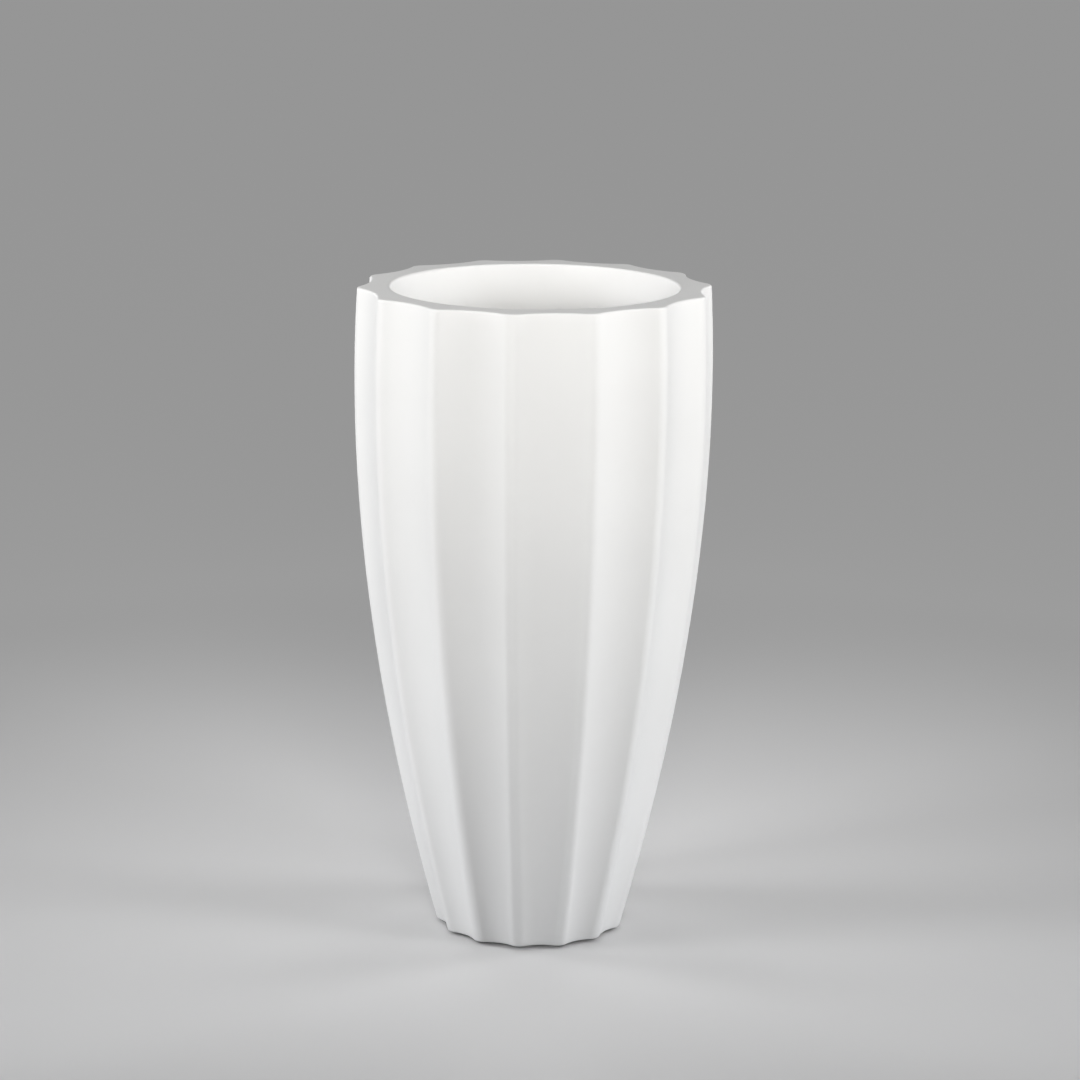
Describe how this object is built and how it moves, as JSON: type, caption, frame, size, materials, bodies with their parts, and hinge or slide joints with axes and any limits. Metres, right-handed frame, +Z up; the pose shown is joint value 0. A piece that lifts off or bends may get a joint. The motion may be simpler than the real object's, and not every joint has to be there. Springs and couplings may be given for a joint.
{
  "type": "floor planter",
  "caption": "Tall round floor planter with a fluted, bulging white shell, a wide flat rim, a lift-out planting liner on an inner ledge and a plugged floor drain.",
  "frame": {"origin": "centre of the footprint on the floor, under the four rubber feet", "axes": "+Z up along the planter's axis; a ridge of the fluting lies on -Y, the middle of a flute on +X"},
  "size_m": [0.4768, 0.488, 0.9],
  "materials": {
    "shell_paint": "white satin paint on glass-fibre laminate",
    "throat_paint": "white satin paint on glass-fibre laminate",
    "base_board": "sealed birch plywood",
    "drain_plastic": "moulded grey plastic",
    "plug_rubber": "black rubber",
    "foot_rubber": "black rubber",
    "screw_steel": "zinc-plated steel",
    "liner_plastic": "moulded dark grey plastic"
  },
  "bodies": {
    "planter": {"outer_shell": "shell_paint", "inner_throat": "throat_paint", "base_plate": "base_board", "drain_bush": "drain_plastic", "rubber_feet": "foot_rubber", "foot_screws": "screw_steel"},
    "planting_liner": {"planting_liner": "liner_plastic"},
    "drain_plug": {"drain_plug": "plug_rubber"}
  },
  "joints": [
    {"name": "liner_lift", "type": "slide", "parent": "planter", "child": "planting_liner", "axis": [0, 0, 1], "range_m": [0, 0.5]},
    {"name": "plug_pull", "type": "slide", "parent": "planter", "child": "drain_plug", "axis": [0, 0, 1], "range_m": [0, 0.045]}
  ]
}
